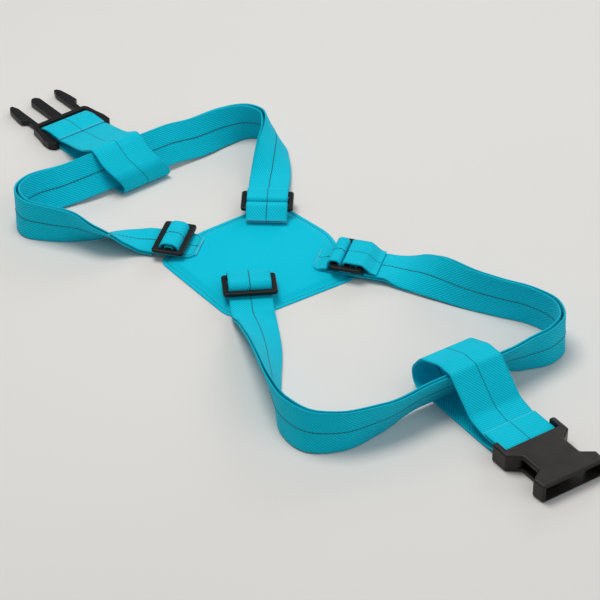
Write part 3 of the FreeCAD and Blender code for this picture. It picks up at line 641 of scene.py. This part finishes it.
def look():
    return bpy.context.scene.harness_belt


def shared_material(name, make, *details):
    """A material made the first time that a piece asks for it."""
    found = bpy.data.materials.get(name)
    return found if found else make(look(), *details)


def strap_webbing():
    return shared_material("strap_webbing", webbing_material, STRAP_WIDTH, "strap_webbing")


def belt_webbing():
    return shared_material("belt_webbing", webbing_material, BELT_WIDTH, "belt_webbing")


def thread():
    return shared_material("thread", thread_material, look().thread_color, "thread")


# Shapes of the ends that lie on the pad as tabs, at the first slide and at the last.
TAB_ENDS = {("left", "inner"): (("chamfer", 6.0), SQUARE),
            ("right", "outer"): (SQUARE, ("round", 7.0))}


# Pieces -------------------------------------------------------------------------------------------
class BELT_OT_straps(bpy.types.Operator):
    """Build the two plies of webbing of each ring, with their centre seams"""
    bl_idname = "belt.straps"
    bl_label = "Ring straps"

    def execute(self, context):
        for ring in RINGS:
            for ply in ("inner", "outer"):
                self.build(ring, ply)
        return {"FINISHED"}

    def build(self, ring, ply):
        name = "%s_ring_%s_strap" % (ring, ply)
        centre, across, normal = ring_ply(ring, ply)
        ends = TAB_ENDS.get((ring, ply), (SQUARE, SQUARE))
        piece = webbing(name + "_webbing", centre, across, normal, STRAP_WIDTH,
                        STRAP_THICKNESS, strap_webbing(), ends)
        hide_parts(name)
        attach(piece, "pad_and_rings")
        side = 1 if ply == "inner" else -1
        face = centre + normal * side * (STRAP_THICKNESS - SHAVE) / 2
        seam = stitches(name + "_seam", face, across, normal * side, thread())
        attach(seam, "pad_and_rings")
        if (ring, ply) in TAB_ENDS:
            self.sewn_outline(name, face, across, normal * side, ends)

    def sewn_outline(self, name, face, across, normal, ends):
        """Stitches inside the edges of the tab, round its shaped end."""
        at_start = ends[0] != SQUARE
        corner = max(ends[0][1], ends[1][1])
        half = STRAP_WIDTH / 2 - TAB_INSET
        cut_in = half - corner + TAB_INSET
        turn = [(TAB_BACK, -half), (corner, -half), (TAB_INSET, -cut_in),
                (TAB_INSET, cut_in), (corner, half), (TAB_BACK, half)]
        turn = np.array(turn)
        turn = along(turn, np.linspace(0, arc_length(turn)[-1], 120))
        lengths = arc_length(face)
        s = turn[:, 0] if at_start else lengths[-1] - turn[:, 0]
        sideways = along_field(lengths, across, s)
        up = along_field(lengths, normal, s)
        line = along_field(lengths, face, s) + sideways * turn[:, 1:]
        run = unit(np.gradient(line, axis=0))
        row = stitches(name + "_outline", line, np.cross(up, run), up, thread(), TAB_PITCH)
        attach(row, "pad_and_rings")


def strip_on(body, origin, heading, path, radii, size, name, material, thin=(0.0, 0.0),
             sway=0.0, hand=1):
    """Webbing bent in the upright plane through its origin, which runs along the heading.

    Sway carries the high part of the bend sideways, by that much above 30 mm.
    """
    width, thickness = size
    flat = rounded_path(path, radii)
    lengths = arc_length(flat)
    flat = along(flat, np.linspace(0, lengths[-1], max(8, int(lengths[-1] / 0.7))))
    run = unit(np.gradient(flat, axis=0))
    ahead, across = direction(heading), direction(heading + 90)
    centre = origin + flat[:, :1] * ahead + flat[:, 1:] * UP
    centre = centre + across * (sway * smoothstep(flat[:, 1:], 6.0, 30.0))
    normal = -run[:, 1:] * ahead + run[:, :1] * UP
    sideways = np.broadcast_to(across, centre.shape)
    piece = webbing(name + "_webbing", centre, sideways, normal, width, thickness, material,
                    thin=thin, hand=hand)
    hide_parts(name)
    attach(piece, body)
    face = centre + normal * (thickness - SHAVE) / 2
    face[:, 2] = np.maximum(face[:, 2], STITCH_RADIUS)
    seam = stitches(name + "_seam", face, sideways, normal, thread())
    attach(seam, body)
    return centre, sideways, normal


HALF = SLIDE_THICKNESS / 2
LIE = HALF + CLEARANCE + STRAP_THICKNESS / 2
REACH = SLIDE_LENGTH / 2
BAR = MIDDLE_BAR / 2 + CLEARANCE + STRAP_THICKNESS / 2
CREST = LIE + STRAP_THICKNESS + CLEARANCE + 0.8
LEG = REACH - SLIDE_BAR - CLEARANCE - STRAP_THICKNESS / 2 - 0.2


def threading(name):
    """Paths of the webbing through a slide, from the pad side on: the passing strap, the end.

    The strap runs under the outer bars and over the middle one, or first over the bar nearest
    the pad.  Where it runs on into the ring, its drawn end thins down onto the ply below.
    """
    height = centre_of(name + "_slide")[2]
    round_bar = ([(0.2, -LIE), (-BAR, -LIE), (-BAR, LIE), (BAR, LIE), (BAR, -LIE), (0.8, -LIE)],
                 [1.3, 1.3, 1.3, 1.3])
    if name == "left":
        arch = [(-REACH + 1, -LIE), (-LEG, -LIE), (-LEG + 0.3, CREST), (LEG - 0.3, CREST),
                (LEG, -LIE), (REACH - 1, -LIE)]
        return (arch, [1.2, 5.8, 5.8, 1.2]), round_bar
    if name == "front":
        low = PAD_TOP + CLEARANCE + STRAP_THICKNESS / 2 - height
        drape = [(-REACH - 5.5, low), (-REACH - 2.6, low), (-REACH - 1.7, LIE + 0.3),
                 (-LEG, CREST), (LEG - 0.3, CREST), (LEG, -LIE), (REACH - 1, -LIE)]
        return (drape, [1.2, 2.5, 9.0, 5.8, 1.2]), round_bar
    low = PAD_TOP + STRAP_THICKNESS * 1.5 + CLEARANCE - height
    leg = -BAR - 3.2
    hook = ([(REACH + 12, -LIE - 0.5), (REACH + 8, -LIE), (REACH - 0.6, LIE + 1.4),
             (-BAR, LIE + 1.4), (-BAR, -LIE), (7.0, -LIE)], [9.0, 6.0, 2.4, 1.4])
    if name == "back":
        tab = [(-REACH - 10.5, low + 1.1), (-REACH + 0.6, LIE + 0.8), (leg, LIE + 0.8),
               (leg, low), (3.0, low)]
        return (tab, [5.0, 2.6, 1.2]), hook
    hump = [(-REACH - 10, low), (-REACH - 3.2, low), (-REACH - 1.4, LIE + 1.7),
            (leg + 0.4, LIE + 1.7), (leg, low), (3.0, low)]
    return (hump, [1.5, 4.0, 3.6, 1.2]), hook


# Ends that thin down onto the ply below, where the real strap runs on into the ring.
FEATHERED = {("left", "hump"): (4.0, 4.0), ("front", "hump"): (3.0, 4.0),
             ("back", "end_loop"): (7.0, 0.0), ("right", "end_loop"): (7.0, 0.0),
             ("right", "hump"): (5.0, 0.0)}


class BELT_OT_slide_webbing(bpy.types.Operator):
    """Build the webbing threaded through each slide adjuster"""
    bl_idname = "belt.slide_webbing"
    bl_label = "Webbing on slides"

    def execute(self, context):
        size = (STRAP_WIDTH, STRAP_THICKNESS)
        for name in SLIDES:
            origin = centre_of(name + "_slide")
            for part, (path, radii) in zip(("hump", "end_loop"), threading(name)):
                strip_on(BODY[name], origin, slide_heading(name), path, radii, size,
                         "%s_slide_%s" % (name, part), strap_webbing(),
                         thin=FEATHERED.get((name, part), (0.0, 0.0)), hand=-1)
        return {"FINISHED"}


def belt_line(buckle, reach):
    """Origin under the ring, heading, and height of the web bar, from the buckle's hinge."""
    hinge = joint(buckle + "_swing")
    axis, pivot = hinge["axis"], np.array(hinge["pos_m"]) / MM
    ahead = np.array([-axis[1], axis[0], 0.0])
    origin = pivot - ahead * reach
    origin[2] = 0.0
    return origin, math.degrees(math.atan2(ahead[1], ahead[0])), pivot[2]


class BELT_OT_belt_loops(bpy.types.Operator):
    """Build the wide belt loop of each ring"""
    bl_idname = "belt.belt_loops"
    bl_label = "Belt loops"

    def execute(self, context):
        self.left_loop()
        self.right_loop()
        return {"FINISHED"}

    def left_loop(self):
        reach, play = LEFT_REACH, 1.4
        origin, heading, mid = belt_line("plug", reach)
        web = BELT_THICKNESS / 2
        low = FLOOR + web
        lean = math.radians(RINGS["left"]["lean"])
        top = resting_height(RINGS["left"]["lean"]) + LOOP_LIFT
        away = STACK / 2 + play + web
        tip = STRAP_WIDTH / 2 + play + web

        def beside(run, off):
            """A point that far up the leaning strap and off its face."""
            return (math.cos(lean) * run - math.sin(lean) * off,
                    top + math.sin(lean) * run + math.cos(lean) * off)

        wrap = PLUG_WEB_BAR / 2 + CLEARANCE + web
        under = mid + wrap - BELT_THICKNESS - CLEARANCE
        path = [(reach - 29, mid + wrap + 4.1), (reach - 11, mid + wrap + 4.2),
                (reach + wrap, mid + wrap - 0.1), (reach + wrap, mid - wrap),
                (-17.5, low), (-22.5, 6.5), (-18.5, 19.0), beside(tip - 6.0, away + 0.9),
                beside(tip, away - 2.55), (26, 28), (50, 19.2), (80, 8.0),
                (reach - wrap - 0.6, under)]
        radii = [20, wrap * 0.98, wrap * 0.98, 3.6, 5, 12, 8, 4.5, 16, 40, 30]
        self.build("left", origin, heading, path, radii, sway=11.0)

    def right_loop(self):
        reach = RIGHT_REACH
        origin, heading, mid = belt_line("socket", reach)
        web = BELT_THICKNESS / 2
        low = FLOOR + web
        crest = resting_height(RINGS["right"]["lean"]) * 2 + LOOP_LIFT + 0.8 + web + 0.6
        wrap = SOCKET_WEB_BAR / 2 + CLEARANCE + web
        under = mid + wrap - BELT_THICKNESS - CLEARANCE
        path = [(reach - 23, mid + wrap), (reach + wrap, mid + wrap),
                (reach + wrap, mid - wrap), (reach - 7, mid - wrap), (reach - 24, low),
                (-34, low), (-38, 16), (-27, 31), (-4, crest), (11, crest), (38, 14),
                (56, under), (reach - wrap - 0.8, under)]
        radii = [wrap * 0.98, wrap * 0.98, 8, 8, 9, 12, 14, 12, 6, 14, 14]
        self.build("right", origin, heading, path, radii)

    def build(self, side, origin, heading, path, radii, sway=0.0):
        name = side + "_belt_loop"
        lines = strip_on(side + "_belt", origin, heading, path[::-1], radii[::-1],
                         (BELT_WIDTH, BELT_THICKNESS), name, belt_webbing(), sway=sway)
        self.tack(name, side + "_belt", *lines)

    def tack(self, name, body, centre, across, normal):
        """One pale row of stitches across the sewn end."""
        lengths = arc_length(centre)
        i = int(np.searchsorted(lengths, lengths[-1] - TACK_INSET))
        end = BELT_WIDTH / 2 - 1.5
        run = np.linspace(-end, end, 60)[:, None]
        face = centre[i] + normal[i] * (BELT_THICKNESS - SHAVE) / 2 + across[i] * run
        ahead = np.broadcast_to(unit(centre[i] - centre[i - 1]), face.shape)
        pale = shared_material("pale_thread", thread_material, look().tack_and_cut_highlight_color, "pale_thread")
        row = stitches(name + "_tack", face, ahead, np.broadcast_to(normal[i], face.shape),
                       pale, TACK_PITCH)
        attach(row, body)


# Pad ----------------------------------------------------------------------------------------------
# Corners of the pad with their radii, from the left one round by the front.
PAD_OUTLINE = [(-83.0, 4.0, 11.0), (-15.0, -86.0, 26.0), (86.0, -19.0, 13.0), (62.0, 46.0, 50.0),
               (15.0, 96.0, 30.0), (-52.0, 46.0, 60.0)]
BORDER = 1.55         # height of the flat border of the upper cover


def pad_edge():
    """The pad's rounded outline as a closed line, from the middle of its first side."""
    corners = np.array([c[:2] for c in PAD_OUTLINE])
    radii = [c[2] for c in PAD_OUTLINE]
    start = (corners[0] + corners[-1]) / 2
    loop = rounded_path(np.vstack([start, corners, start]), radii, step=1.0)
    lengths = arc_length(loop)
    return along(loop, np.linspace(0, lengths[-1], 421))


def edge_distance(points, edge):
    """Distance from each point to the nearest part of a closed line."""
    a, b = edge[:-1], edge[1:]
    run = b - a
    best = np.full(len(points), 1e9)
    for block in np.array_split(np.arange(len(points)), 24):
        p = points[block][:, None, :]
        t = np.clip(((p - a) * run).sum(-1) / (run * run).sum(-1), 0, 1)
        best[block] = np.linalg.norm(p - a - run * t[..., None], axis=-1).min(1)
    return best


def pad_top_height(points, distance):
    """Height of the cover: a flat border, a seam that pulls in, and a soft rise over the foam.

    Shallow dents run across the middle, never higher than the straps that lie on it.
    """
    border = BORDER - 0.75 * (1 - smoothstep(distance, 0.0, 1.2)) ** 2
    rise = smoothstep(distance, HEM - 1.6, HEM + 5.0)
    seam = np.exp(-((distance - HEM_INSET) / 0.7) ** 2)
    x, y = points[:, 0], points[:, 1]
    dents = (np.sin(x / 21 + 0.6 * np.sin(y / 17)) * np.sin(y / 26 + 0.5)
             + 0.5 * np.sin((x + y) / 9.5) * np.sin(x / 31))
    return border + rise * (PAD_TOP - 0.08 - BORDER) - 0.42 * seam - 0.16 * rise * (1 + dents)


def pad_shell(name, edge, top, bottom, material):
    """A closed shell over the pad's outline: rings shrink from the edge to the middle.

    The upper skin's height is top(points, distance) and the lower one's is bottom(...).
    """
    middle = edge[:-1].mean(0)
    share = 1 - np.linspace(0, 1, 70)[:-1] ** 1.6
    rings = middle + (edge[:-1] - middle)[None] * share[:, None, None]
    flat = rings.reshape(-1, 2)
    distance = edge_distance(flat, edge)
    count = len(edge) - 1
    upper = np.column_stack([flat, top(flat, distance)])
    lower = np.column_stack([flat, bottom(flat, distance)])
    centre_distance = edge_distance(middle[None], edge)
    tip = [np.append(middle, f(middle[None], centre_distance)[0]) for f in (top, bottom)]
    points = np.concatenate([upper, lower, tip])
    r, c = np.arange(len(share) - 1)[:, None], np.arange(count)
    right = (c + 1) % count
    a, b = r * count + c, r * count + right
    quads = np.stack([a, b, b + count, a + count], -1).reshape(-1, 4)
    under = len(flat)
    wall = np.stack([right, c, under + c, under + right], -1)
    last = (len(share) - 1) * count
    top_fan = np.stack([last + c, last + right, np.full(count, 2 * under)], -1)
    low_fan = np.stack([under + last + right, under + last + c, np.full(count, 2 * under + 1)], -1)
    faces = list(quads) + list(quads[:, ::-1] + under) + list(wall) + list(top_fan) + list(low_fan)
    return mesh_from(name, points, faces, material)


class BELT_OT_pad(bpy.types.Operator):
    """Build the back pad's two covers and the seam round its border"""
    bl_idname = "belt.pad"
    bl_label = "Back pad"

    def execute(self, context):
        edge = pad_edge()
        cloth = shared_material("pad_cloth", cloth_material)
        cover = pad_shell("pad_top_cover", edge, pad_top_height,
                          lambda p, d: np.full(len(p), COVER + 0.06), cloth)
        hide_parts("back_pad_top_cover", "back_pad_foam")
        under = pad_shell("pad_underside_cover", edge,
                          lambda p, d: COVER - self.rounding(d),
                          lambda p, d: 0.04 + self.rounding(d), cloth)
        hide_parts("back_pad_underside_cover")
        for piece in (cover, under):
            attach(piece, "pad_and_rings")
        self.hem_seam(edge)
        return {"FINISHED"}

    def rounding(self, distance):
        """How far each face of the lower cover comes in near its edge."""
        return 0.3 * (1 - smoothstep(distance, 0, COVER)) ** 2

    def hem_seam(self, edge):
        """One row of stitches inside the outline."""
        run = unit(np.gradient(edge, axis=0))
        inward = np.stack([-run[:, 1], run[:, 0]], axis=1)
        line = edge + inward * HEM_INSET
        height = pad_top_height(line, np.full(len(line), HEM_INSET))
        line = np.column_stack([line, height])
        inward = np.column_stack([inward, np.zeros(len(line))])
        seam = stitches("pad_hem_seam", line, inward, np.broadcast_to(UP, line.shape), thread(),
                        HEM_PITCH)
        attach(seam, "pad_and_rings")


# Plastic parts ------------------------------------------------------------------------------------
# Body that each moulded node rides on, and the width of its rounded edges.
PLASTIC = {"buckle_plug": ("plug", 0.9), "buckle_plug_left_arm": ("plug_left_arm", 0.8),
           "buckle_plug_right_arm": ("plug_right_arm", 0.8), "buckle_socket": ("socket", 0.7)}
PLASTIC.update({name + "_slide": (BODY[name], 0.35) for name in SLIDES})


class BELT_OT_plastic(bpy.types.Operator):
    """Soften the edges of the moulded slides and buckle halves"""
    bl_idname = "belt.plastic"
    bl_label = "Slides and buckle"

    def execute(self, context):
        black = shared_material("black_plastic", plastic_material, look().plastic_color,
                                "black_plastic")
        brown = shared_material("socket_plastic", plastic_material, look().socket_color,
                                "socket_plastic")
        for node, (body, width) in PLASTIC.items():
            piece = self.moulded(node, width, brown if node == "buckle_socket" else black)
            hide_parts(node)
            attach(piece, body)
        return {"FINISHED"}

    def moulded(self, node, width, material):
        """A merged copy of the node whose sharp edges are rounded as a mould leaves them."""
        mesh = bpy.data.meshes.new(node + "_moulding")
        shape = bmesh.new()
        shape.from_mesh(frame["nodes"][node].data)
        bmesh.ops.remove_doubles(shape, verts=shape.verts, dist=2e-6)
        bmesh.ops.dissolve_limit(shape, angle_limit=math.radians(1.0), verts=shape.verts,
                                 edges=shape.edges)
        shape.to_mesh(mesh)
        shape.free()
        mesh.materials.clear()
        piece = add_object(node + "_moulding", mesh, material)
        bevel = piece.modifiers.new("rounded", "BEVEL")
        bevel.width = width * MM
        bevel.segments = 3
        bevel.limit_method = "ANGLE"
        bevel.angle_limit = math.radians(38)
        bevel.miter_outer = "MITER_ARC"
        piece.modifiers.new("shading", "WEIGHTED_NORMAL")
        return piece


# Stage --------------------------------------------------------------------------------------------
CAMERA_ELEVATION = 36.0
CAMERA_DISTANCE = 2.034
AIM = (0.0364, -0.0175, -0.0241)
TABLE_SIDE = 6000.0


class BELT_OT_stage(bpy.types.Operator):
    """Set up the table, the lights and the camera"""
    bl_idname = "belt.stage"
    bl_label = "Table, lights and camera"

    def execute(self, context):
        self.table()
        self.light("key", (-0.35, 0.25, 1.9), 1.1, look().key_power * 1.1, (1.0, 0.97, 0.93))
        self.light("fill", (1.2, -0.8, 1.3), 1.6, look().key_power * 0.3, (0.93, 0.97, 1.0))
        self.light("rim", (0.9, 1.5, 0.8), 0.9, look().key_power * 0.3, (1.0, 1.0, 1.0))
        world = bpy.data.worlds.new("soft_room")
        world.use_nodes = True
        sky = world.node_tree.nodes["Background"]
        sky.inputs["Color"].default_value = (0.86, 0.9, 0.95, 1.0)
        sky.inputs["Strength"].default_value = 0.32
        context.scene.world = world
        context.scene.view_settings.view_transform = "Standard"
        self.camera(context.scene)
        return {"FINISHED"}

    def table(self):
        corners = np.array([(-1, -1, 0), (1, -1, 0), (1, 1, 0), (-1, 1, 0)]) * TABLE_SIDE / 2
        table = mesh_from("table", corners, [np.arange(4)],
                          shared_material("table", table_material))

    def light(self, name, place, size, power, color):
        data = bpy.data.lights.new(name, "AREA")
        data.shape = "DISK"
        data.size = size
        data.energy = power
        data.color = color
        lamp = bpy.data.objects.new(name, data)
        lamp.location = place
        back = np.array(place) - np.array(AIM)
        flat = math.hypot(back[0], back[1])
        lamp.rotation_euler = (math.atan2(flat, back[2]), 0.0,
                               math.atan2(back[0], -back[1]))
        bpy.context.scene.collection.objects.link(lamp)

    def camera(self, scene):
        data = bpy.data.cameras.new("camera")
        data.lens = 144.0
        data.sensor_width = 36.0
        data.clip_end = 20.0
        rise = math.radians(CAMERA_ELEVATION)
        camera = bpy.data.objects.new("camera", data)
        camera.location = (AIM[0], AIM[1] - CAMERA_DISTANCE * math.cos(rise),
                           AIM[2] + CAMERA_DISTANCE * math.sin(rise))
        camera.rotation_euler = (math.pi / 2 - rise, 0.0, 0.0)
        scene.collection.objects.link(camera)
        scene.camera = camera


class BELT_PT_panel(bpy.types.Panel):
    """Harness belt tools in the sidebar"""
    bl_label = "Harness belt"
    bl_idname = "BELT_PT_panel"
    bl_space_type = "VIEW_3D"
    bl_region_type = "UI"
    bl_category = "Harness belt"

    def draw(self, context):
        for name in BeltLook.__annotations__:
            self.layout.prop(context.scene.harness_belt, name)
        for operator in OPERATORS:
            self.layout.operator(operator.bl_idname)


OPERATORS = (BELT_OT_straps, BELT_OT_slide_webbing, BELT_OT_belt_loops, BELT_OT_pad,
             BELT_OT_plastic, BELT_OT_stage)
CLASSES = (BeltLook, *OPERATORS, BELT_PT_panel)


def register():
    for item in CLASSES:
        bpy.utils.register_class(item)
    bpy.types.Scene.harness_belt = PointerProperty(type=BeltLook)


def unregister():
    del bpy.types.Scene.harness_belt
    for item in reversed(CLASSES):
        bpy.utils.unregister_class(item)


def main():
    register()
    bpy.ops.belt.straps()
    bpy.ops.belt.slide_webbing()
    bpy.ops.belt.belt_loops()
    bpy.ops.belt.pad()
    bpy.ops.belt.plastic()
    bpy.ops.belt.stage()
    bpy.context.view_layer.update()


if __name__ == "__main__":
    main()
